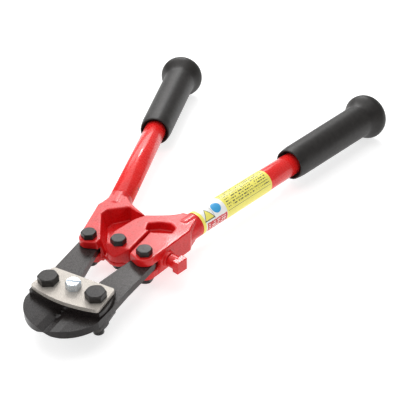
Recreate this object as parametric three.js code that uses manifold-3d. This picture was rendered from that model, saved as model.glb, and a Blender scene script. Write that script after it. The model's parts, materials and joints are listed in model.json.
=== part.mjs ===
// Centre-cut bolt cutters with forged jaws, cast handle heads and steel tube handles.
// Millimetres. Z is up, Y runs from the jaws to the grips, X runs across the tool.
// The working plane z = 0 is the middle of the jaws until the last lines set the part on the floor.
import * as THREE from "three";
import { mergeVertices } from "three/addons/utils/BufferGeometryUtils.js";
import Module from "manifold-3d";

const wasm = await Module();
wasm.setup();

// ---- Linkage ----
const jawPivotX = 22;
const tailPivotX = 27;
const tailPivotY = 66.5;
const centrePivotRise = 3.7;
const handleHalfAngle = THREE.MathUtils.degToRad(15.5);

// Where a handle's neck ends: this far along the handle from its tail pivot, and this far inside it.
const headLength = 73.35;
const handleInset = 7.16;

// The jaw tails turn on their bolts with this much slack, which the toggle motion takes up.
const linkSlack = 1.5;
const runningGap = 0.05;

// ---- Jaws ----
const jawThickness = 6.6;
const jawSideWall = 11.6;
const jawShoulderWall = 12.4;
const jawShoulderY = 26.5;
const domeBulge = 1.4;
const domeCentreY = -6;
const tailEndRadius = 9.3;
const tailInnerX = 9;
const bladeGap = 0.3;
const throatRadius = 2.2;
const throatY = -21.3;
const bladeTaperX = 13.3;
const bladeBevelX = 6.2;
const bladeTaperDrop = 0.8;
const bladeEdgeHalf = 0.3;
const padHeight = 4.65;
const padSideReach = 0.4;
const padSideBulge = 1.8;
const padBackY = 19;
const stampRadius = 6.2;
const stampDepth = 0.4;

// ---- Straps ----
const strapThickness = 3.5;
const strapGap = 0.1;
const strapBackWall = 7.6;
const strapTipWall = 10;
const strapBackY = 16.2;
const strapTipY = -11;
const strapFrontY = -16;
const strapCorner = 2.5;
const strapTurn = THREE.MathUtils.degToRad(-2);

// ---- Handle heads ----
const headThickness = 21.4;
const clevisClearance = 0.4;
const lapFloor = 0.15;
const lapGap = 0.3;
const lapUnder = -7.4;
const webWall = 3.5;
const rampRun = 4.5;
const rampHeight = 13;
const lugRampRun = 5.6;
const lugRampHeight = 8;
const leftEarRadius = 8.6;
const rightEarRadius = 10;
const lugRadius = 10.5;
const headSideBulge = 2.2;
const crotchDrop = 23.5;
const crotchGap = 0.6;
const slotWidth = 2.5;
const slotLength = 25.8;
const pocketDepth = 8;
const neckStep = 0.4;
const neckLength = 24;
const rightNeckCut = 4.5;
const spigotLength = 40;

// ---- Tubes, pins and grips ----
const tubeRadius = 11;
const tubeWall = 1.8;
const tubeLength = 258;
const tubeSeatGap = 0.2;
const tubePinAt = 22;
const tubePinRadius = 2;
const pressGap = 0.05;
const gripLength = 143;
const gripCap = 18;
const gripWall = 5.6;
const gripMouthWall = 4;
const gripRimRadius = 24;
const gripMouthGap = 2.6;
const gripMouthDepth = 4;
const gripFlareLength = 25;
const labelStart = 0.5;
const labelLength = 96;
const labelThickness = 0.25;
const labelGap = 0.08;
const labelHalfTurn = 150;

// ---- Fasteners ----
const jawBolt = { shank: 4.5, acrossFlats: 15, head: 6.1, nut: 5, tail: 7.45 };
const handleBolt = { shank: 3.5, acrossFlats: 12, head: 5, nut: 6.5, tail: 1.5 };
const guideScrew = { shank: 3, acrossFlats: 11, head: 6.3, nut: 5, tail: 1.2 };
const hexChamfer = 0.9;
const guideScrewY = 2.3;
const guideSpacerRadius = 4.6;
const guideSlotWidth = 1.6;
const guideSlotDepth = 2;
const guideSlotTurn = THREE.MathUtils.degToRad(20);

// ---- Adjusting screw ----
const adjustRise = 16;
const adjustBossRadius = 7;
const adjustBossLength = 7;
const adjustGap = 0.3;
const adjustStemRadius = 5.9;
const adjustStemLength = 7;
const adjustHeadSize = 11.4;
const adjustHeadLength = 6.2;
const adjustThreadRadius = 3.5;
const adjustThreadLength = 8.2;

// ---- Finishes: colour, roughness, metalness ----
const steel = { forged: [0x2b2b2d, 0.45, 0.75], bolt: [0x39393a, 0.5, 0.7], zinc: [0xd5dde2, 0.3, 0.9] };
const plate = { nickel: [0xcfc9c1, 0.42, 0.85] };
const paint = { red: [0xd3251f, 0.35, 0.1], label: [0xf2efd8, 0.4, 0] };
const rubber = { black: [0x1d1c1c, 0.85, 0] };

// ---- Worked-out places ----
const handleWay = new THREE.Vector2(Math.sin(handleHalfAngle), Math.cos(handleHalfAngle));
const neckEndX = tailPivotX + handleWay.x * headLength - handleWay.y * handleInset;
const neckEndY = tailPivotY + handleWay.y * headLength + handleWay.x * handleInset;
const halfHead = headThickness / 2;
const centrePivotY = tailPivotY + centrePivotRise;
const crotchY = neckEndY - crotchDrop;
const armSideX = lugRadius + slotWidth;
const slotEndY = centrePivotY + slotLength;
const neckRadius = tubeRadius + neckStep;
const clevisGap = jawThickness + clevisClearance;
const lapZ = -clevisGap / 2 - lapFloor;
const jawSideX = jawPivotX + jawSideWall;
const jawShoulderX = jawPivotX + jawShoulderWall;
const domeRadius = jawSideX + domeBulge;
const strapBackX = jawPivotX + strapBackWall;
const strapTipX = jawPivotX + strapTipWall;
const halfJaw = jawThickness / 2;
const padTop = halfJaw + padHeight;
const tailHole = handleBolt.shank + linkSlack;
const tailRoom = tailEndRadius + linkSlack + 0.2;
const strapUnder = padTop + strapGap;
const strapTop = strapUnder + strapThickness;
const gripEnd = tubeLength + gripCap;
const gripStart = gripEnd - gripLength;
const adjustY = tailPivotY + adjustRise;
const adjustFootX = tailPivotX + rightEarRadius;
const part = new THREE.Group();

// ---- Helpers ----
function shapeOf(points) {
  return new THREE.Shape(points.map(([x, y]) => new THREE.Vector2(x, y)));
}

function arc(x, y, radius, fromDegrees, toDegrees, steps) {
  const from = THREE.MathUtils.degToRad(fromDegrees);
  const to = THREE.MathUtils.degToRad(toDegrees);
  return Array.from({ length: steps + 1 }, (_, i) => {
    const angle = from + ((to - from) * i) / steps;
    return [x + radius * Math.cos(angle), y + radius * Math.sin(angle)];
  });
}

function curve(start, control, end, steps) {
  const bend = new THREE.QuadraticBezierCurve(
    new THREE.Vector2(...start),
    new THREE.Vector2(...control),
    new THREE.Vector2(...end),
  );
  return bend.getPoints(steps).map((point) => [point.x, point.y]);
}

function mirrored(points, side) {
  return side > 0 ? points : points.map(([x, y]) => [-x, y]).reverse();
}

function solidOf(geometry) {
  const bare = geometry.index ? geometry.toNonIndexed() : geometry.clone();
  bare.deleteAttribute("normal");
  bare.deleteAttribute("uv");
  const merged = mergeVertices(bare, 1e-4);
  const mesh = new wasm.Mesh({
    numProp: 3,
    vertProperties: new Float32Array(merged.attributes.position.array),
    triVerts: new Uint32Array(merged.index.array),
  });
  return new wasm.Manifold(mesh);
}

// A solid between two outlines with the same number of corners, the lower one first.
function loft(lower, upper, fromZ, toZ) {
  const geometry = new THREE.ExtrudeGeometry(shapeOf(lower), { depth: 1, bevelEnabled: false });
  const places = geometry.attributes.position;
  for (let i = 0; i < places.count; i += 1) {
    const corner = lower.findIndex(([x, y]) => Math.hypot(x - places.getX(i), y - places.getY(i)) < 1e-4);
    const isUpper = places.getZ(i) > 0.5;
    places.setXYZ(i, ...(isUpper ? upper : lower)[corner], isUpper ? toZ : fromZ);
  }
  return solidOf(geometry);
}

function geometryOf(solid) {
  const mesh = solid.getMesh();
  const geometry = new THREE.BufferGeometry();
  geometry.setAttribute("position", new THREE.BufferAttribute(new Float32Array(mesh.vertProperties), 3));
  geometry.setIndex(new THREE.BufferAttribute(new Uint32Array(mesh.triVerts), 1));
  geometry.computeVertexNormals();
  return geometry;
}

function slab(points, bottom, top) {
  const geometry = new THREE.ExtrudeGeometry(shapeOf(points), { depth: top - bottom, bevelEnabled: false });
  return solidOf(geometry.translate(0, 0, bottom));
}

// An upright round bar from z = bottom to z = top.
function post(x, y, radius, bottom, top, sides = 36) {
  const geometry = new THREE.CylinderGeometry(radius, radius, top - bottom, sides);
  geometry.rotateX(Math.PI / 2);
  return solidOf(geometry.translate(x, y, (bottom + top) / 2));
}

function place(name, geometry, [color, roughness, metalness], parent = part) {
  const material = new THREE.MeshStandardMaterial({ color, roughness, metalness });
  const mesh = new THREE.Mesh(geometry, material);
  mesh.name = name;
  parent.add(mesh);
}

// A bar turned about the Y axis: a closed profile of [radius, y] points.
function turned(profile, sides = 40) {
  return new THREE.LatheGeometry(profile.map(([radius, y]) => new THREE.Vector2(radius, y)), sides);
}

// A hexagonal block whose top corners are turned down to a circle, standing on z = 0.
function hexBlock(acrossFlats, height) {
  const corner = acrossFlats / Math.sqrt(3);
  const hexagon = solidOf(new THREE.CylinderGeometry(corner, corner, height, 6).translate(0, height / 2, 0));
  const cone = turned([
    [0, 0],
    [corner + 1, 0],
    [corner + 1, height - hexChamfer - 0.5],
    [acrossFlats / 2 - 0.3, height],
    [0, height],
  ], 36);
  return hexagon.intersect(solidOf(cone));
}

// Turns a solid built about the Y axis so that it stands along Z, with its foot at z and facing up or down.
function standing(solid, x, y, z, up) {
  const geometry = geometryOf(solid);
  geometry.rotateX(up ? Math.PI / 2 : -Math.PI / 2);
  return solidOf(geometry.translate(x, y, z));
}

function bolt(name, x, y, seat, nutSeat, size, finish, parent) {
  const head = standing(hexBlock(size.acrossFlats, size.head), x, y, seat, true);
  const end = nutSeat - size.nut - size.tail;
  const shank = post(x, y, size.shank, end, seat + 1);
  place(name, geometryOf(head.add(shank)), finish, parent);
}

function nut(name, x, y, seat, size, finish, parent) {
  const block = standing(hexBlock(size.acrossFlats, size.nut), x, y, seat, false);
  const hole = post(x, y, size.shank + runningGap, seat - size.nut - 1, seat + 1);
  place(name, geometryOf(block.subtract(hole)), finish, parent);
}

// ---- Jaws ----
function jawOutline() {
  const edge = bladeGap / 2;
  const tipAngle = THREE.MathUtils.radToDeg(edge / domeRadius);
  const sideAngle = THREE.MathUtils.radToDeg(Math.asin(jawSideX / domeRadius));
  return [
    ...arc(0, domeCentreY, domeRadius, tipAngle - 90, sideAngle - 90, 18),
    [jawSideX + 0.8, 0],
    [jawShoulderX, jawShoulderY],
    ...arc(tailPivotX, tailPivotY, tailEndRadius, 0, 180, 18),
    [tailInnerX, jawShoulderY],
    [guideSpacerRadius + 2.6, guideScrewY + 8],
    [guideSpacerRadius + 1.4, guideScrewY],
    [2.6, guideScrewY - 7],
    [edge, guideScrewY - 10],
    ...arc(0, throatY, throatRadius, 86, -86, 10),
  ];
}

function padOutline() {
  const tip = [strapTipX + padSideReach, strapTipY - 1];
  const back = [strapBackX + padSideReach + 0.4, strapBackY - 2];
  const bulge = [(tip[0] + back[0]) / 2 + 2 * padSideBulge, (tip[1] + back[1]) / 2];
  return [
    ...curve([bladeGap / 2, strapFrontY], [strapTipX / 2, strapFrontY], tip, 8),
    ...curve(tip, bulge, back, 8).slice(1),
    [strapBackX - 1.5, padBackY],
    [tailInnerX, padBackY - 0.5],
    [guideSpacerRadius + 2.6, guideScrewY + 8],
    [guideSpacerRadius + 1.4, guideScrewY],
    [2.6, guideScrewY - 7],
    [bladeGap / 2, guideScrewY - 10],
  ];
}

// The wedge taken off one face of a blade: a shallow taper, then a steeper bevel to the edge.
function bladeWedge(side, up) {
  const face = up * halfJaw;
  const profile = [
    [bladeTaperX, face],
    [bladeBevelX, face - up * bladeTaperDrop],
    [0, up * bladeEdgeHalf],
    [-1, up * bladeEdgeHalf],
    [-1, face + up * 2],
    [bladeTaperX, face + up * 2],
  ].map(([x, z]) => [side * x, z]);
  const depth = domeRadius + 2 + domeCentreY - strapFrontY;
  const geometry = new THREE.ExtrudeGeometry(shapeOf(profile), { depth, bevelEnabled: false });
  geometry.rotateX(Math.PI / 2);
  return solidOf(geometry.translate(0, strapFrontY - 1.2, 0));
}

function jaw(side) {
  const x = side * jawPivotX;
  let body = slab(mirrored(jawOutline(), side), -halfJaw, halfJaw);
  for (const up of [-1, 1]) {
    body = body.subtract(bladeWedge(side, up));
  }
  body = body.add(slab(mirrored(padOutline(), side), -padTop, padTop));
  body = body.subtract(post(x, 0, jawBolt.shank + runningGap, -padTop - 1, padTop + 1));
  body = body.subtract(post(side * tailPivotX, tailPivotY, tailHole, -halfJaw - 1, halfJaw + 1));
  if (side > 0) {
    body = body.subtract(post(jawPivotX, throatY, stampRadius, halfJaw - stampDepth, halfJaw + 1));
  }
  return geometryOf(body);
}

// ---- Straps ----
function strapOutline() {
  const outline = new THREE.Shape();
  const back = new THREE.Vector2(strapBackX, strapBackY);
  const tip = new THREE.Vector2(strapTipX, strapTipY);
  const along = tip.clone().sub(back).normalize().multiplyScalar(strapCorner);
  outline.moveTo(-back.x + strapCorner, back.y);
  outline.quadraticCurveTo(-back.x, back.y, -back.x - along.x, back.y + along.y);
  outline.lineTo(-tip.x + along.x, tip.y - along.y);
  outline.quadraticCurveTo(-tip.x, tip.y, -tip.x + strapCorner, tip.y - 0.6);
  outline.quadraticCurveTo(0, 2 * strapFrontY - tip.y + 0.6, tip.x - strapCorner, tip.y - 0.6);
  outline.quadraticCurveTo(tip.x, tip.y, tip.x - along.x, tip.y - along.y);
  outline.lineTo(back.x + along.x, back.y + along.y);
  outline.quadraticCurveTo(back.x, back.y, back.x - strapCorner, back.y);
  const pivot = new THREE.Vector2(0, guideScrewY);
  return outline.getPoints(9).map((point) => point.rotateAround(pivot, strapTurn).toArray());
}

function strap(bottom) {
  let body = slab(strapOutline(), bottom, bottom + strapThickness);
  for (const x of [-jawPivotX, jawPivotX]) {
    body = body.subtract(post(x, 0, jawBolt.shank + runningGap, bottom - 1, bottom + strapThickness + 1));
  }
  const hole = post(0, guideScrewY, guideScrew.shank + runningGap, bottom - 1, bottom + strapThickness + 1);
  return geometryOf(body.subtract(hole));
}

// ---- Handle heads ----
// A point beside the right handle's axis, from where its neck ends.
function besideAxis(along, across) {
  return [
    neckEndX + handleWay.x * along + handleWay.y * across,
    neckEndY + handleWay.y * along - handleWay.x * across,
  ];
}

// Seen from above, the right head reaches over the centre line to carry the centre pivot.
function headOutline(side) {
  const earRadius = side > 0 ? rightEarRadius : leftEarRadius;
  const inner = besideAxis(-neckLength / 3, -neckRadius + 1.5);
  return [
    ...arc(tailPivotX, tailPivotY, earRadius, -100, 0, 9),
    [tailPivotX + earRadius + 0.5, tailPivotY + 1.5],
    besideAxis(-neckLength, neckRadius + headSideBulge),
    besideAxis(-neckLength + 4, neckRadius - 0.5),
    besideAxis(-neckLength + 17, neckRadius / 2),
    besideAxis(-neckLength + 17, -neckRadius / 2),
    ...curve(inner, [inner[0] - 3.5, crotchY + 11], [crotchGap / 2, crotchY], 9),
    [-0.53 * lugRadius, centrePivotY + 36],
    [-1.11 * lugRadius, centrePivotY + 13],
    ...arc(0, centrePivotY, lugRadius, 175, 290, 12),
    [armSideX, centrePivotY - 5],
    [armSideX + slotWidth, centrePivotY - 5],
    [armSideX + slotWidth, tailPivotY - 5],
  ];
}

// The room that one head leaves for the other head's lap, seen from above for the left head.
// The wall beside the ear stands inset further from the ear.
function lapRoom(inset) {
  const wall = besideAxis(-neckLength - 14.8, 6.4);
  const corner = besideAxis(-neckLength - 7.4, 3.3);
  const lip = besideAxis(-neckLength + 0.6, -neckRadius - 3.3);
  return [
    [-armSideX - webWall + inset, tailPivotY - 60],
    [-armSideX - webWall + inset, tailPivotY + 1.5],
    [-wall[0] + inset, wall[1]],
    [-corner[0] + inset, corner[1]],
    [-lip[0], lip[1]],
    [-9, crotchY + 1.2],
    [-crotchGap - 0.4, crotchY - 0.4],
    [crotchGap, crotchY + 0.6],
    [jawPivotX + 40, crotchY + 0.6],
    [jawPivotX + 40, tailPivotY - 60],
  ];
}

// On the left head the room's side wall ramps inwards on its way down from the top face.
function rampedRoom() {
  const foot = halfHead - rampHeight;
  return slab(lapRoom(rampRun), lapZ - lapGap / 2, foot + 0.1).add(
    loft(lapRoom(rampRun), lapRoom(0), foot, halfHead + 0.01),
  );
}

// The front of the right head's lug slopes forwards on its way down.
function lugFront() {
  const front = (y) => [
    [-lugRadius - 1, y - 20],
    [lugRadius + 1, y - 20],
    [lugRadius + 1, y],
    [-lugRadius - 1, y],
  ];
  const footY = centrePivotY - lugRadius;
  return loft(front(footY), front(footY + lugRampRun), halfHead - lugRampHeight, halfHead + 0.01);
}

// The left head is thinner under the other head's lug.
function underLap() {
  const room = [
    [-armSideX, tailPivotY - 60],
    [jawPivotX + 40, tailPivotY - 60],
    [jawPivotX + 40, centrePivotY + 14],
    [-armSideX + 4, centrePivotY + 14],
    [-armSideX, centrePivotY + 10],
  ];
  return slab(room, -halfHead - 1, lapUnder);
}

// The slot for a jaw tail. Its inner wall leans with the side of the tail.
function clevisRoom() {
  const left = tailPivotX - tailRoom;
  const lean = (tailPivotX - tailEndRadius - tailInnerX) / (tailPivotY - jawShoulderY);
  return [
    [left, tailPivotY],
    [left - 60 * lean, tailPivotY - 60],
    [tailPivotX + 60, tailPivotY - 60],
    [tailPivotX + 60, tailPivotY + 7],
    [tailPivotX + 9, tailPivotY + 7],
  ];
}

function pocketOutline() {
  const near = slotEndY - 0.5;
  return [
    [armSideX - 2, near + 2],
    [armSideX + 5, near],
    [neckEndX - 6, near + 6.5],
    [neckEndX - 6.5, near + 14],
    [neckEndX - 13, near + 18.5],
    [armSideX + 4, near + 16.5],
    [armSideX - 4.5, near + 10.5],
  ];
}

function alongHandle(geometry, side) {
  geometry.rotateZ(-side * handleHalfAngle);
  return geometry.translate(side * neckEndX, neckEndY, 0);
}

function headCasting(side) {
  const pivotX = side * tailPivotX;
  const clevis = clevisGap / 2;
  const neckEnd = side > 0 ? -rightNeckCut : 0;
  let body = slab(mirrored(headOutline(side), side), -halfHead, halfHead);
  const leftRoom = mirrored(lapRoom(0), -1);
  body = body.subtract(side > 0 ? slab(leftRoom, -halfHead - 5, lapZ + lapGap / 2) : rampedRoom());
  const neck = turned([
    [0, -neckLength],
    [neckRadius - 1.5, -neckLength],
    [neckRadius, -neckLength + 6],
    [neckRadius, neckEnd],
    [tubeRadius - tubeWall - pressGap, neckEnd],
    [tubeRadius - tubeWall - pressGap, spigotLength - 1],
    [tubeRadius - tubeWall - 1, spigotLength],
    [0, spigotLength],
  ]);
  body = body.add(solidOf(alongHandle(neck, side)));
  body = body.subtract(side > 0 ? lugFront() : underLap());
  body = body.subtract(slab(mirrored(clevisRoom(), side), -clevis, clevis));
  body = body.subtract(post(pivotX, tailPivotY, tailRoom, -clevis, clevis));
  for (const [x, y] of [[pivotX, tailPivotY], [0, centrePivotY]]) {
    body = body.subtract(post(x, y, handleBolt.shank + runningGap, -halfHead - 1, halfHead + 1));
  }
  if (side > 0) {
    const slot = [
      [armSideX, tailPivotY - 30],
      [armSideX + slotWidth, tailPivotY - 30],
      [armSideX + slotWidth + 1, slotEndY],
      [armSideX + 1, slotEndY],
    ];
    body = body.subtract(slab(slot, lapZ - 1, halfHead + 1));
    body = body.subtract(slab(pocketOutline(), halfHead - pocketDepth, halfHead + 1));
    body = body.add(sideBar(adjustBossRadius, -4, adjustBossLength));
    body = body.subtract(sideBar(adjustThreadRadius, adjustBossLength - adjustThreadLength, adjustBossLength + 1));
  }
  body = body.subtract(solidOf(alongHandle(pinHole(), side)));
  return geometryOf(body);
}

// A round bar across a tube and its spigot, in the plane of the tool.
function crossBar(radius, length) {
  const bar = new THREE.CylinderGeometry(radius, radius, length, 20);
  bar.rotateZ(Math.PI / 2);
  return bar.translate(0, tubePinAt, 0);
}

function tubePin() {
  return crossBar(tubePinRadius, 2 * tubeRadius - 0.4);
}

function pinHole() {
  return crossBar(tubePinRadius + pressGap, 2 * tubeRadius + 6);
}

// ---- Adjusting screw on the right head ----
// The screw stands square to the side of the head, from its foot outwards.
function besideHead(geometry) {
  geometry.rotateZ(-handleHalfAngle);
  return solidOf(geometry.translate(adjustFootX, adjustY, 0));
}

function sideBar(radius, from, to) {
  const bar = new THREE.CylinderGeometry(radius, radius, to - from, 32);
  bar.rotateZ(-Math.PI / 2);
  return besideHead(bar.translate((from + to) / 2, 0, 0));
}

function adjustingScrew() {
  const seat = adjustBossLength + adjustGap;
  const headFoot = seat + adjustStemLength;
  const thread = sideBar(adjustThreadRadius - runningGap, seat - adjustThreadLength, seat + 1);
  const stem = sideBar(adjustStemRadius, seat, headFoot + 1);
  const head = new THREE.BoxGeometry(adjustHeadLength, adjustHeadSize, adjustHeadSize);
  const square = besideHead(head.translate(headFoot + adjustHeadLength / 2, 0, 0));
  return geometryOf(thread.add(stem).add(square));
}

// ---- Handles ----
function tube(start) {
  const inner = tubeRadius - tubeWall;
  const body = solidOf(turned([
    [inner, start],
    [tubeRadius, start],
    [tubeRadius, tubeLength],
    [inner, tubeLength],
    [inner, start],
  ]));
  return geometryOf(body.subtract(solidOf(pinHole())));
}

function grip() {
  const bore = tubeRadius + pressGap;
  const mouth = tubeRadius + gripMouthGap;
  const skin = tubeRadius + gripWall;
  const flare = gripEnd - gripFlareLength;
  return turned([
    [bore, gripStart + gripMouthDepth],
    [mouth, gripStart + gripMouthDepth],
    [mouth, gripStart + 1.5],
    [mouth + 0.9, gripStart],
    [tubeRadius + gripMouthWall, gripStart + 1],
    [skin - 0.7, gripStart + 6],
    [skin, gripStart + 14],
    [skin + 0.9, flare],
    [skin + 2.6, flare + 7],
    [gripRimRadius - 1, flare + 12.5],
    [gripRimRadius, flare + 16.5],
    [gripRimRadius - 0.6, gripEnd - 4],
    [gripRimRadius - 2.2, gripEnd - 1.2],
    [gripRimRadius - 5, gripEnd],
    [0, gripEnd],
    [0, tubeLength + 1],
    [bore, tubeLength + 1],
    [bore, gripStart + gripMouthDepth],
  ]);
}

function label(start) {
  const inner = tubeRadius + labelGap;
  const outline = [
    ...arc(0, 0, inner + labelThickness, -labelHalfTurn, labelHalfTurn, 30),
    ...arc(0, 0, inner, labelHalfTurn, -labelHalfTurn, 30),
  ];
  const geometry = new THREE.ExtrudeGeometry(shapeOf(outline), { depth: labelLength, bevelEnabled: false });
  geometry.rotateX(-Math.PI / 2);
  geometry.rotateY(-Math.PI / 2);
  return geometry.translate(0, start, 0);
}

// ---- Assembly ----
place("strap_top", strap(strapUnder), plate.nickel);
place("strap_bottom", strap(-strapTop), plate.nickel);

for (const [sideName, side] of [["left", -1], ["right", 1]]) {
  place(`jaw_${sideName}`, jaw(side), steel.forged);
  bolt(`jaw_bolt_${sideName}`, side * jawPivotX, 0, strapTop, -strapTop, jawBolt, steel.bolt);
  nut(`jaw_nut_${sideName}`, side * jawPivotX, 0, -strapTop, jawBolt, steel.bolt);
  place(`handle_head_${sideName}`, headCasting(side), paint.red);
  bolt(`tail_bolt_${sideName}`, side * tailPivotX, tailPivotY, halfHead, -halfHead, handleBolt, steel.bolt);
  nut(`tail_nut_${sideName}`, side * tailPivotX, tailPivotY, -halfHead, handleBolt, steel.bolt);
  const handle = new THREE.Group();
  handle.position.set(side * neckEndX, neckEndY, 0);
  handle.rotation.z = -side * handleHalfAngle;
  const tubeStart = tubeSeatGap - (side > 0 ? rightNeckCut : 0);
  place(`handle_tube_${sideName}`, tube(tubeStart), paint.red, handle);
  place(`tube_pin_${sideName}`, tubePin(), steel.bolt, handle);
  place(`grip_${sideName}`, grip(), rubber.black, handle);
  if (side > 0) {
    place("handle_label", label(tubeStart + labelStart), paint.label, handle);
  }
  part.add(handle);
}

bolt("centre_bolt", 0, centrePivotY, halfHead, lapUnder, handleBolt, steel.bolt);
nut("centre_nut", 0, centrePivotY, lapUnder, handleBolt, steel.bolt);
place("adjusting_screw", adjustingScrew(), paint.red);

// The guide screw holds the straps apart on a spacer that the jaws close around.
const guideHex = hexBlock(guideScrew.acrossFlats, guideScrew.head);
const guideHead = standing(guideHex, 0, guideScrewY, strapTop, true);
const guideEnd = -strapTop - guideScrew.nut - guideScrew.tail;
const guideShank = post(0, guideScrewY, guideScrew.shank, guideEnd, strapTop + 1);
const slotBox = new THREE.BoxGeometry(2 * guideScrew.acrossFlats, guideSlotWidth, 2 * guideSlotDepth);
slotBox.rotateZ(guideSlotTurn);
const guideSlot = solidOf(slotBox.translate(0, guideScrewY, strapTop + guideScrew.head));
place("guide_screw", geometryOf(guideHead.add(guideShank).subtract(guideSlot)), steel.zinc);
nut("guide_nut", 0, guideScrewY, -strapTop, guideScrew, steel.zinc);
const spacerHalf = strapUnder - runningGap;
const spacerOuter = post(0, guideScrewY, guideSpacerRadius, -spacerHalf, spacerHalf);
const spacerBore = post(0, guideScrewY, guideScrew.shank + runningGap, -strapUnder - 1, strapUnder + 1);
place("guide_spacer", geometryOf(spacerOuter.subtract(spacerBore)), steel.zinc);

// Sets the part on the floor, centred under its bounding box.
part.updateMatrixWorld(true);
const box = new THREE.Box3().setFromObject(part, true);
part.position.set(-(box.min.x + box.max.x) / 2, -(box.min.y + box.max.y) / 2, -box.min.z);
part.updateMatrixWorld(true);

export default part;
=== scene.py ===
"""Bolt cutters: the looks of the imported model. Metres, Z up, Y from the jaws to the grips."""

import json
import math

import bmesh
import bpy
from mathutils import Matrix, Vector


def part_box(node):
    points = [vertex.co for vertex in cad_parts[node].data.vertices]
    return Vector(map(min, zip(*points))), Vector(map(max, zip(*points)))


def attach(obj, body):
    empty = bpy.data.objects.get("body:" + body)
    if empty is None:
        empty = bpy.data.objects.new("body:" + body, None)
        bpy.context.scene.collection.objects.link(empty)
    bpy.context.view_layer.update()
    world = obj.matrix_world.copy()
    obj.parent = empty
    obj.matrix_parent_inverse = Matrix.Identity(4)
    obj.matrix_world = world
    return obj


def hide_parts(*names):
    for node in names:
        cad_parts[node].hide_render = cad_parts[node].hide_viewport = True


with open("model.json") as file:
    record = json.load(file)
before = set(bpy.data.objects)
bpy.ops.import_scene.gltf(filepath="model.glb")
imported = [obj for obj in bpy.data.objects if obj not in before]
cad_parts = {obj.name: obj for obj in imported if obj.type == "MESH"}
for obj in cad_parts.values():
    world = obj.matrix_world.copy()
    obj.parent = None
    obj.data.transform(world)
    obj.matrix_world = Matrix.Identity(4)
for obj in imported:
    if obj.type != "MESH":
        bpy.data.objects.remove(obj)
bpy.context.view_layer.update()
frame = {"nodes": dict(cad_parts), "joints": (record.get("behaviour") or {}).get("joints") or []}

MM = 0.001
SIDES = {"left": -1, "right": 1}


# ---- Places and sizes taken from the frame ----
def middle(node):
    low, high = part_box(node)
    return (low + high) / 2


def joint_place(name):
    found = [joint for joint in frame["joints"] if joint["name"] == name]
    return Vector(found[0]["pos_m"])


HANDLE_ANGLE = math.radians(15.5)
MID_Z = joint_place("jaw_left_hinge").z
JAWS_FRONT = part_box("jaw_left")[0].y
TUBE_PIN = {side: middle(f"tube_pin_{side}") for side in SIDES}

# Lengths along a handle are measured from the end of its head's neck.
PIN_FROM_NECK = 22 * MM
TUBE_START = {"left": 0.2 * MM, "right": -4.3 * MM}
TUBE_END = 258 * MM
TUBE_OUTSIDE, TUBE_INSIDE = 11 * MM, 9.2 * MM
TUBE_EDGE = 0.4 * MM
GRIP_START, GRIP_END = 133 * MM, 276 * MM
GRIP_FLARE_LENGTH = 25 * MM
GRIP_STOP = 17 * MM
TURNED_STEPS, PIN_STEPS = 96, 32

# The label's places are in mm along the handle and in degrees of turn about it.
LABEL_START = -3.8
LABEL_LENGTH = 96
LABEL_RADIUS = 11.3
SKIN_PER_DEGREE = math.pi * LABEL_RADIUS / 180

# A row of bars fills this part of its pitch; the shift makes each row's bars different.
ROW_INK = (0.3, 0.72)
ROW_SHIFT = 7.3
TRIANGLE_SLOPE = 0.58

FLOOR_DROP = 0.2 * MM
FLOOR_GLOW = 0.7
CAMERA_DISTANCE = 850.2 * MM
WELD_DISTANCE = 0.01 * MM
CASTING_VOXEL, CASTING_ROUNDS = 0.6 * MM, 6
SCREW_VOXEL, SCREW_ROUNDS = 0.3 * MM, 9
JAW_BEVEL, FASTENER_BEVEL = 0.5 * MM, 0.35 * MM
BEVEL_ANGLE = math.radians(28)
FLAT_ANGLE = math.radians(1)


def handle_frame(side):
    """Turns a thing built about the Y axis, from the neck's end, onto that side's handle."""
    turn = Matrix.Rotation(-SIDES[side] * HANDLE_ANGLE, 4, "Z")
    pin = TUBE_PIN[side]
    place = Matrix.Translation((pin.x, pin.y, MID_Z))
    return place @ turn @ Matrix.Translation((0, -PIN_FROM_NECK, 0))


# ---- Camera, floor and lights ----
def make_camera():
    """Looks down on the tool from in front of the jaws, a little to the right."""
    target = Vector((9.6, 19.1, 1)) * MM
    azimuth, elevation = math.radians(26.6), math.radians(33.5)
    away = Vector((
        math.sin(azimuth) * math.cos(elevation),
        -math.cos(azimuth) * math.cos(elevation),
        math.sin(elevation),
    ))
    data = bpy.data.cameras.new("camera")
    data.angle = math.radians(25.7)
    camera = bpy.data.objects.new("camera", data)
    camera.location = target + CAMERA_DISTANCE * away
    camera.rotation_euler = (-away).to_track_quat("-Z", "Y").to_euler()
    bpy.context.scene.collection.objects.link(camera)
    bpy.context.scene.camera = camera


def softbox(name, place, aim, size, power):
    """A rectangular area light at a place, facing the aim point."""
    data = bpy.data.lights.new(name, "AREA")
    data.shape = "RECTANGLE"
    data.size, data.size_y = size
    data.energy = power
    lamp = bpy.data.objects.new(name, data)
    lamp.location = place
    lamp.rotation_euler = (Vector(aim) - Vector(place)).to_track_quat("-Z", "Y").to_euler()
    bpy.context.scene.collection.objects.link(lamp)


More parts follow.
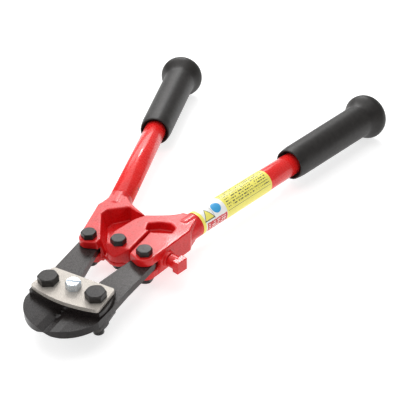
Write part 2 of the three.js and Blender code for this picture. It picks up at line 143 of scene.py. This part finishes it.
def make_studio():
    """A pale glowing floor, a dim white world and five soft lights."""
    bpy.ops.mesh.primitive_plane_add(size=30, location=(0, 0, -FLOOR_DROP))
    floor = bpy.context.active_object
    floor.name = "floor"
    material, _, _, shader = new_material("floor_paper")
    shader.inputs["Base Color"].default_value = (0.55, 0.55, 0.55, 1)
    shader.inputs["Emission Color"].default_value = (1, 1, 1, 1)
    shader.inputs["Emission Strength"].default_value = FLOOR_GLOW
    shader.inputs["Roughness"].default_value = 0.9
    shader.inputs["Specular IOR Level"].default_value = 0.1
    floor.data.materials.append(material)
    world = bpy.data.worlds.new("studio")
    world.use_nodes = True
    background = world.node_tree.nodes["Background"]
    background.inputs["Color"].default_value = (1, 1, 1, 1)
    background.inputs["Strength"].default_value = 0.4
    bpy.context.scene.world = world
    bpy.context.scene.view_settings.view_transform = "Standard"
    softbox("overhead", (-0.2, 0.1, 1.1), (0, 0, 0), (1.2, 1.2), 8)
    softbox("back", (-0.9, 1.1, 0.9), (0, 0, 0), (1.4, 0.7), 10)
    softbox("front_left", (-1.0, -0.7, 0.7), (0, -0.05, 0), (0.6, 0.6), 3.5)
    softbox("front_strip", (0.35, -0.9, 0.12), (0, -0.2, 0.02), (0.5, 0.05), 1.2)
    softbox("key", (-0.35, 0.75, 0.8), (0, -0.05, 0), (0.16, 0.16), 2.2)


# ---- Materials ----
def new_material(name):
    """A node material with its node list, its link list and its Principled shader."""
    material = bpy.data.materials.new(name)
    material.use_nodes = True
    nodes, links = material.node_tree.nodes, material.node_tree.links
    shader = nodes["Principled BSDF"]
    return material, nodes, links, shader


def surface_noise(nodes, links, size, detail=3.0):
    """Noise whose lumps are about size across, in object space."""
    place = nodes.new("ShaderNodeTexCoord")
    noise = nodes.new("ShaderNodeTexNoise")
    noise.inputs["Scale"].default_value = 1 / size
    noise.inputs["Detail"].default_value = detail
    links.new(place.outputs["Object"], noise.inputs["Vector"])
    return noise.outputs["Fac"]


def spread(nodes, links, value, low, high, start=0.35, end=0.65):
    """Maps a noise value to the range low..high."""
    ramp = nodes.new("ShaderNodeMapRange")
    ramp.inputs["From Min"].default_value = start
    ramp.inputs["From Max"].default_value = end
    ramp.inputs["To Min"].default_value = low
    ramp.inputs["To Max"].default_value = high
    links.new(value, ramp.inputs["Value"])
    return ramp.outputs["Result"]


def blend_colours(nodes, links, factor, first, second):
    """Mixes two colours, each a tuple or an output, by a factor output."""
    mix = nodes.new("ShaderNodeMix")
    mix.data_type = "RGBA"
    links.new(factor, mix.inputs["Factor"])
    for socket, colour in ((mix.inputs["A"], first), (mix.inputs["B"], second)):
        if isinstance(colour, tuple):
            socket.default_value = (*colour, 1)
        else:
            links.new(colour, socket)
    return mix.outputs["Result"]


def add_bumps(nodes, links, shader, layers):
    """Adds bump layers, each a height output, its depth in metres and a strength."""
    previous = None
    for height, depth, strength in layers:
        bump = nodes.new("ShaderNodeBump")
        bump.inputs["Distance"].default_value = depth
        bump.inputs["Strength"].default_value = strength
        links.new(height, bump.inputs["Height"])
        if previous:
            links.new(previous, bump.inputs["Normal"])
        previous = bump.outputs["Normal"]
    links.new(previous, shader.inputs["Normal"])


def simple_finish(
    name, colours, rough, metal, grain, mottle, coat=(0.0, 0.1), bump=(0.00005, 0.3), shine=0.5,
):
    """Two mottled colours and a grain that varies the roughness and the surface.

    rough is the range of roughness, grain and mottle are sizes in metres, coat is a weight and its
    roughness, bump is a depth in metres and a strength.
    """
    material, nodes, links, shader = new_material(name)
    mottled = surface_noise(nodes, links, mottle)
    grained = surface_noise(nodes, links, grain)
    tone = spread(nodes, links, mottled, 0, 1)
    links.new(blend_colours(nodes, links, tone, *colours), shader.inputs["Base Color"])
    links.new(spread(nodes, links, grained, *rough), shader.inputs["Roughness"])
    shader.inputs["Metallic"].default_value = metal
    shader.inputs["Specular IOR Level"].default_value = shine
    shader.inputs["Coat Weight"].default_value = coat[0]
    shader.inputs["Coat Roughness"].default_value = coat[1]
    add_bumps(nodes, links, shader, [(mottled, 3 * bump[0], bump[1]), (grained, *bump)])
    return material


def make_jaw_finish():
    """Black forged steel: near-black at the dome, greyer along the tails, where the grey is a painted
    reflection.
    """
    material, nodes, links, shader = new_material("jaw_steel")
    scale = surface_noise(nodes, links, 2.5 * MM, 4)
    grain = surface_noise(nodes, links, 0.5 * MM)
    coordinates = nodes.new("ShaderNodeTexCoord")
    axes = nodes.new("ShaderNodeSeparateXYZ")
    links.new(coordinates.outputs["Object"], axes.inputs["Vector"])
    # Painted reflection: the tails are drawn greyer than the dome, blending along Y from the dome to the
    # tails.
    along = spread(nodes, links, axes.outputs["Y"], 0, 1, JAWS_FRONT + 20 * MM, JAWS_FRONT + 55 * MM)
    tone = spread(nodes, links, scale, 0, 1)
    dark = blend_colours(nodes, links, tone, (0.006, 0.0045, 0.0045), (0.013, 0.0095, 0.009))
    grey = blend_colours(nodes, links, tone, (0.02, 0.0165, 0.0155), (0.04, 0.034, 0.032))
    links.new(blend_colours(nodes, links, along, dark, grey), shader.inputs["Base Color"])
    links.new(spread(nodes, links, grain, 0.2, 0.36), shader.inputs["Roughness"])
    shader.inputs["Metallic"].default_value = 0.1
    shader.inputs["Specular IOR Level"].default_value = 0.3
    add_bumps(nodes, links, shader, [(scale, 0.00012, 0.35), (grain, 0.00005, 0.35)])
    return material


def calculate(nodes, links, operation, first, second=0.0):
    """A Math node; each value is a number or an output."""
    step = nodes.new("ShaderNodeMath")
    step.operation = operation
    for socket, value in zip(step.inputs, (first, second)):
        if isinstance(value, (int, float)):
            socket.default_value = value
        else:
            links.new(value, socket)
    return step.outputs["Value"]


def both(nodes, links, first, second):
    """The overlap of two masks."""
    return calculate(nodes, links, "MULTIPLY", first, second)


def within(nodes, links, value, low, high):
    """1 where the value lies between low and high, else 0."""
    above = calculate(nodes, links, "GREATER_THAN", value, low)
    below = calculate(nodes, links, "LESS_THAN", value, high)
    return both(nodes, links, above, below)


def skin_distance(nodes, links, turn, start):
    """Distance in mm round the label from the start turn."""
    beyond = calculate(nodes, links, "SUBTRACT", turn, start)
    return calculate(nodes, links, "MULTIPLY", beyond, SKIN_PER_DEGREE)


def handle_skin(nodes, links, side):
    """Distance along the handle in mm and turn about it in degrees, 0 on top."""
    coordinates = nodes.new("ShaderNodeTexCoord")
    square_on = nodes.new("ShaderNodeMapping")
    square_on.vector_type = "TEXTURE"
    square_on.inputs["Location"].default_value = handle_frame(side).translation
    square_on.inputs["Rotation"].default_value = (0, 0, -SIDES[side] * HANDLE_ANGLE)
    links.new(coordinates.outputs["Object"], square_on.inputs["Vector"])
    axes = nodes.new("ShaderNodeSeparateXYZ")
    links.new(square_on.outputs["Vector"], axes.inputs["Vector"])
    along = calculate(nodes, links, "MULTIPLY", axes.outputs["Y"], 1 / MM)
    turn = calculate(nodes, links, "ARCTAN2", axes.outputs["X"], axes.outputs["Z"])
    return along, calculate(nodes, links, "MULTIPLY", turn, 180 / math.pi)


def print_rows(nodes, links, along, turn, pitch, word):
    """Rows of small unlettered bars: pitch is the row height in degrees, word the bar length in mm."""
    row = calculate(nodes, links, "DIVIDE", turn, pitch)
    inside = within(nodes, links, calculate(nodes, links, "FRACT", row), *ROW_INK)
    spot = nodes.new("ShaderNodeCombineXYZ")
    links.new(calculate(nodes, links, "DIVIDE", along, word), spot.inputs["X"])
    row_number = calculate(nodes, links, "FLOOR", row)
    links.new(calculate(nodes, links, "MULTIPLY", row_number, ROW_SHIFT), spot.inputs["Y"])
    words = nodes.new("ShaderNodeTexNoise")
    words.inputs["Scale"].default_value = 1
    words.inputs["Detail"].default_value = 0
    links.new(spot.outputs["Vector"], words.inputs["Vector"])
    return both(nodes, links, inside, calculate(nodes, links, "GREATER_THAN", words.outputs["Fac"], 0.5))


def triangle(nodes, links, along, turn, centre, point, height):
    """A triangle mask whose point is at the given turn, its base further round."""
    down = skin_distance(nodes, links, turn, point)
    half_width = calculate(nodes, links, "MULTIPLY", down, TRIANGLE_SLOPE)
    off = calculate(nodes, links, "ABSOLUTE", calculate(nodes, links, "SUBTRACT", along, centre))
    narrow = calculate(nodes, links, "LESS_THAN", off, half_width)
    return both(nodes, links, narrow, within(nodes, links, down, 0, height))


def disc(nodes, links, along, turn, centre, middle_turn, radius):
    """A round mask about a place along the handle and a turn."""
    across = calculate(nodes, links, "SUBTRACT", along, centre)
    down = skin_distance(nodes, links, turn, middle_turn)
    across_squared = calculate(nodes, links, "MULTIPLY", across, across)
    down_squared = calculate(nodes, links, "MULTIPLY", down, down)
    square = calculate(nodes, links, "ADD", across_squared, down_squared)
    return calculate(nodes, links, "LESS_THAN", square, radius * radius)


def make_label_film():
    """A yellow wrap with a white panel, a plain triangle and disc, a red band and rows of bars."""
    material, nodes, links, shader = new_material("label_wrap")
    along, turn = handle_skin(nodes, links, "right")
    yellow, white, ink = (0.92, 0.84, 0.16), (0.9, 0.9, 0.88), (0.06, 0.06, 0.06)
    red, blue, grey = (0.66, 0.06, 0.07), (0.045, 0.36, 0.7), (0.45, 0.45, 0.45)

    def span(low, high):
        """A band round the label, its ends as shares of the label's length."""
        ends = (LABEL_START + share * LABEL_LENGTH for share in (low, high))
        return within(nodes, links, along, *ends)

    def wedge(low, high):
        return within(nodes, links, turn, low, high)

    red_zone = both(nodes, links, span(0.05, 0.325), wedge(72, 117))
    fine_rows = print_rows(nodes, links, along, turn, 13, 1.1)
    band_rows = print_rows(nodes, links, along, turn, 11, 2.2)
    panel = both(nodes, links, span(0.36, 0.97), wedge(-32, 64))
    layers = [
        (span(0.035, 0.33), white),
        (span(0.158, 0.164), grey),
        (triangle(nodes, links, along, turn, 5.6, 6, 11.5), ink),
        (triangle(nodes, links, along, turn, 5.6, 12, 9.4), yellow),
        (disc(nodes, links, along, turn, 18, 28, 5.3), blue),
        (red_zone, red),
        (both(nodes, links, both(nodes, links, red_zone, span(0.07, 0.3)), band_rows), white),
        (both(nodes, links, panel, fine_rows), ink),
        # Painted shade: a thin dark line just inside the label's upper silhouette, drawn in the print's
        # ink.
        (both(nodes, links, span(0.35, 0.98), wedge(-42, -40)), ink),
        (both(nodes, links, span(0.35, 0.98), wedge(74, 76)), ink),
    ]
    colour = yellow
    for mask, paint in layers:
        colour = blend_colours(nodes, links, mask, colour, paint)
    links.new(colour, shader.inputs["Base Color"])
    creases = surface_noise(nodes, links, 6 * MM)
    links.new(spread(nodes, links, creases, 0.3, 0.42), shader.inputs["Roughness"])
    add_bumps(nodes, links, shader, [(creases, 0.00005, 0.3)])
    return material


# ---- Mesh helpers ----
def finished(name, body_mesh, material, body, node):
    """Puts a finished mesh on its body in place of a CAD node."""
    piece = bpy.data.objects.new(name, body_mesh)
    bpy.context.scene.collection.objects.link(piece)
    piece.data.materials.clear()
    piece.data.materials.append(material)
    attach(piece, body)
    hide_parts(node)


def node_bmesh(node):
    """A copy of a CAD node's mesh with its faces joined at their edges."""
    shape = bmesh.new()
    shape.from_mesh(frame["nodes"][node].data)
    bmesh.ops.remove_doubles(shape, verts=shape.verts, dist=WELD_DISTANCE)
    return shape


def to_mesh(shape, name):
    """Turns a bmesh into a mesh and frees it."""
    mesh = bpy.data.meshes.new(name)
    shape.to_mesh(mesh)
    shape.free()
    return mesh


def with_modifiers(mesh, settings):
    """Runs a list of (type, values) modifiers on a mesh and returns the finished mesh."""
    carrier = bpy.data.objects.new("carrier", mesh)
    bpy.context.scene.collection.objects.link(carrier)
    for kind, values in settings:
        modifier = carrier.modifiers.new(kind, kind)
        for key, value in values.items():
            setattr(modifier, key, value)
    bpy.context.view_layer.update()
    graph = bpy.context.evaluated_depsgraph_get()
    done = bpy.data.meshes.new_from_object(carrier.evaluated_get(graph))
    bpy.data.objects.remove(carrier)
    return done


def softened(node, voxel, rounds):
    """A CAD node re-skinned with small cells and smoothed, as a casting's fillets are."""
    mesh = with_modifiers(to_mesh(node_bmesh(node), node), [
        ("REMESH", {"mode": "VOXEL", "voxel_size": voxel, "use_smooth_shade": True}),
        ("SMOOTH", {"factor": 0.5, "iterations": rounds}),
    ])
    mesh.shade_smooth()
    return mesh


def eased(node, width, segments=2):
    """A CAD node with its hard edges bevelled."""
    shape = node_bmesh(node)
    bmesh.ops.dissolve_limit(shape, angle_limit=FLAT_ANGLE, verts=shape.verts, edges=shape.edges)
    return with_modifiers(to_mesh(shape, node), [
        ("BEVEL", {
            "width": width,
            "segments": segments,
            "limit_method": "ANGLE",
            "angle_limit": BEVEL_ANGLE,
            "harden_normals": True,
            "miter_outer": "MITER_ARC",
        }),
    ])


def turned(profile, steps, place):
    """A closed bar or ring spun about the Y axis from (radius, y) points, then placed."""
    shape = bmesh.new()
    line = [shape.verts.new((radius, along, 0)) for radius, along in profile]
    edges = [shape.edges.new(pair) for pair in zip(line, line[1:])]
    bmesh.ops.spin(
        shape,
        geom=line + edges,
        axis=(0, 1, 0),
        cent=(0, 0, 0),
        angle=math.tau,
        steps=steps,
        use_merge=True,
    )
    bmesh.ops.remove_doubles(shape, verts=shape.verts, dist=0.000001)
    bmesh.ops.recalc_face_normals(shape, faces=shape.faces)
    bmesh.ops.transform(shape, matrix=place, verts=shape.verts)
    return shape


# ---- Pieces ----
def grip_profile():
    """The grip's outline as (radius, along) points, from its bore round its outside and back."""
    bore, mouth, skin, waist, rim = (radius * MM for radius in (11.05, 13.6, 16.4, 17.4, 24))
    lip = GRIP_START + 4 * MM
    shoulder = mouth + 1.7 * MM
    shoulder_start = GRIP_START + 0.6 * MM
    profile = [
        (bore, lip),
        (mouth, lip),
        (mouth, GRIP_START + 1.2 * MM),
        (mouth + 0.5 * MM, GRIP_START + 0.3 * MM),
        (mouth + 1.1 * MM, GRIP_START),
        (shoulder, shoulder_start),
    ]
    for step in range(1, 9):
        share = step / 8
        swell = math.sin(share * math.pi / 2) * (skin - shoulder)
        profile.append((shoulder + swell, shoulder_start + 12 * MM * share))
    flare_start = GRIP_END - GRIP_FLARE_LENGTH
    crown = 8.5 * MM
    for step in range(13):
        share = step / 12
        rise = 0.5 - 0.5 * math.cos(share * math.pi)
        along = flare_start + share * (GRIP_FLARE_LENGTH - crown)
        profile.append((waist + rise ** 1.2 * (rim - waist), along))
    for step in range(1, 9):
        turn = step / 8 * math.pi / 2
        radius = rim - 5 * MM * (1 - math.cos(turn))
        profile.append((radius, GRIP_END - crown + crown * math.sin(turn)))
    inner_end = GRIP_END - GRIP_STOP
    return profile + [(0, GRIP_END), (0, inner_end), (bore, inner_end), (bore, lip)]


def make_turned(name, profile, steps, place, material, side, node):
    """A smooth turned piece that rides on one side's handle."""
    mesh = to_mesh(turned(profile, steps, place), name)
    mesh.shade_smooth()
    finished(name, mesh, material, f"handle_{side}", node)


def make_grip(side, material):
    make_turned(
        f"grip_{side}_sleeve", grip_profile(), TURNED_STEPS, handle_frame(side), material,
        side, f"grip_{side}",
    )


def make_tube(side, material):
    start = TUBE_START[side]
    profile = [
        (TUBE_INSIDE, start),
        (TUBE_OUTSIDE - TUBE_EDGE, start),
        (TUBE_OUTSIDE, start + TUBE_EDGE),
        (TUBE_OUTSIDE, TUBE_END),
        (TUBE_INSIDE, TUBE_END),
        (TUBE_INSIDE, start),
    ]
    make_turned(
        f"tube_{side}_bar", profile, TURNED_STEPS, handle_frame(side), material,
        side, f"handle_tube_{side}",
    )


def make_pin(side, material):
    """The pin across tube and spigot, its domed ends just proud of the tube."""
    radius, crown, half = 2.1 * MM, 1.3 * MM, 11.25 * MM
    profile = [(0, -half), (crown, 0.1 * MM - half), (radius, 0.6 * MM - half)]
    profile += [(reach, -along) for reach, along in reversed(profile)]
    at_pin = handle_frame(side) @ Matrix.Translation((0, PIN_FROM_NECK, 0))
    across = at_pin @ Matrix.Rotation(math.pi / 2, 4, "Z")
    make_turned(
        f"tube_pin_{side}_rod", profile, PIN_STEPS, across, material,
        side, f"tube_pin_{side}",
    )


def paint_node(node, material):
    """Gives a CAD node that keeps its own mesh its material."""
    frame["nodes"][node].data.materials.clear()
    frame["nodes"][node].data.materials.append(material)


make_camera()
make_studio()

casting_paint = simple_finish(
    "casting_paint", ((0.7, 0.011, 0.012), (0.6, 0.008, 0.009)), (0.24, 0.38), 0.0, 1.1 * MM, 7 * MM,
    coat=(0.2, 0.06), bump=(0.00008, 0.3), shine=0.3,
)
tube_enamel = simple_finish(
    "tube_enamel", ((0.82, 0.018, 0.016), (0.74, 0.014, 0.013)), (0.22, 0.32), 0.0, 2 * MM, 20 * MM,
    coat=(0.25, 0.06), bump=(0.00002, 0.2), shine=0.3,
)
jaw_steel = make_jaw_finish()
bolt_black = simple_finish(
    "bolt_black", ((0.012, 0.0105, 0.01), (0.026, 0.023, 0.021)), (0.26, 0.42), 0.1, 0.4 * MM, 2 * MM,
    bump=(0.00003, 0.3), shine=0.3,
)
strap_nickel = simple_finish(
    "strap_nickel", ((0.27, 0.24, 0.21), (0.62, 0.58, 0.53)), (0.42, 0.58), 0.5, 0.35 * MM, 0.5 * MM,
    bump=(0.00006, 0.5),
)
# Painted shade: the lower strap is the same steel as the top strap, darkened to near-black where it lies
# in shade under the head.
lower_strap_painted_shade = simple_finish(
    "lower_strap_painted_shade", ((0.03, 0.026, 0.024), (0.05, 0.045, 0.042)), (0.4, 0.6), 0.4, 0.4 * MM, 2 * MM,
)
bright_zinc = simple_finish(
    "bright_zinc", ((0.66, 0.74, 0.8), (0.78, 0.83, 0.88)), (0.2, 0.34), 0.85, 0.4 * MM, 3 * MM,
    bump=(0.00002, 0.3),
)
grip_rubber = simple_finish(
    "grip_rubber", ((0.012, 0.0105, 0.0095), (0.019, 0.017, 0.0155)), (0.4, 0.54), 0.0, 0.5 * MM, 5 * MM,
    bump=(0.00005, 0.35), shine=0.35,
)
label_film = make_label_film()

for side in SIDES:
    finished(
        f"handle_head_{side}_casting",
        softened(f"handle_head_{side}", CASTING_VOXEL, CASTING_ROUNDS),
        casting_paint, f"handle_{side}", f"handle_head_{side}",
    )
    finished(
        f"jaw_{side}_forging", eased(f"jaw_{side}", JAW_BEVEL, 3), jaw_steel,
        f"jaw_{side}", f"jaw_{side}",
    )
    make_grip(side, grip_rubber)
    make_tube(side, tube_enamel)
    make_pin(side, bolt_black)

finished(
    "adjusting_screw_casting", softened("adjusting_screw", SCREW_VOXEL, SCREW_ROUNDS),
    casting_paint, "handle_right", "adjusting_screw",
)
paint_node("handle_label", label_film)
paint_node("guide_spacer", bright_zinc)

for node, body, material, slot in (
    ("strap_top", "straps", strap_nickel, "strap_steel"),
    # The lower strap takes the painted-shade copy of the strap steel.
    ("strap_bottom", "straps", lower_strap_painted_shade, "strap_steel"),
    ("jaw_bolt_left", "straps", bolt_black, "black_bolt"),
    ("jaw_bolt_right", "straps", bolt_black, "black_bolt"),
    ("jaw_nut_left", "straps", bolt_black, "black_bolt"),
    ("jaw_nut_right", "straps", bolt_black, "black_bolt"),
    ("guide_screw", "straps", bright_zinc, "zinc_plated"),
    ("guide_nut", "straps", bright_zinc, "zinc_plated"),
    ("centre_bolt", "centre_pivot", bolt_black, "black_bolt"),
    ("centre_nut", "centre_pivot", bolt_black, "black_bolt"),
    ("tail_bolt_left", "handle_left", bolt_black, "black_bolt"),
    ("tail_nut_left", "handle_left", bolt_black, "black_bolt"),
    ("tail_bolt_right", "handle_right", bolt_black, "black_bolt"),
    ("tail_nut_right", "handle_right", bolt_black, "black_bolt"),
):
    finished(node + "_eased", eased(node, FASTENER_BEVEL), material, body, node)
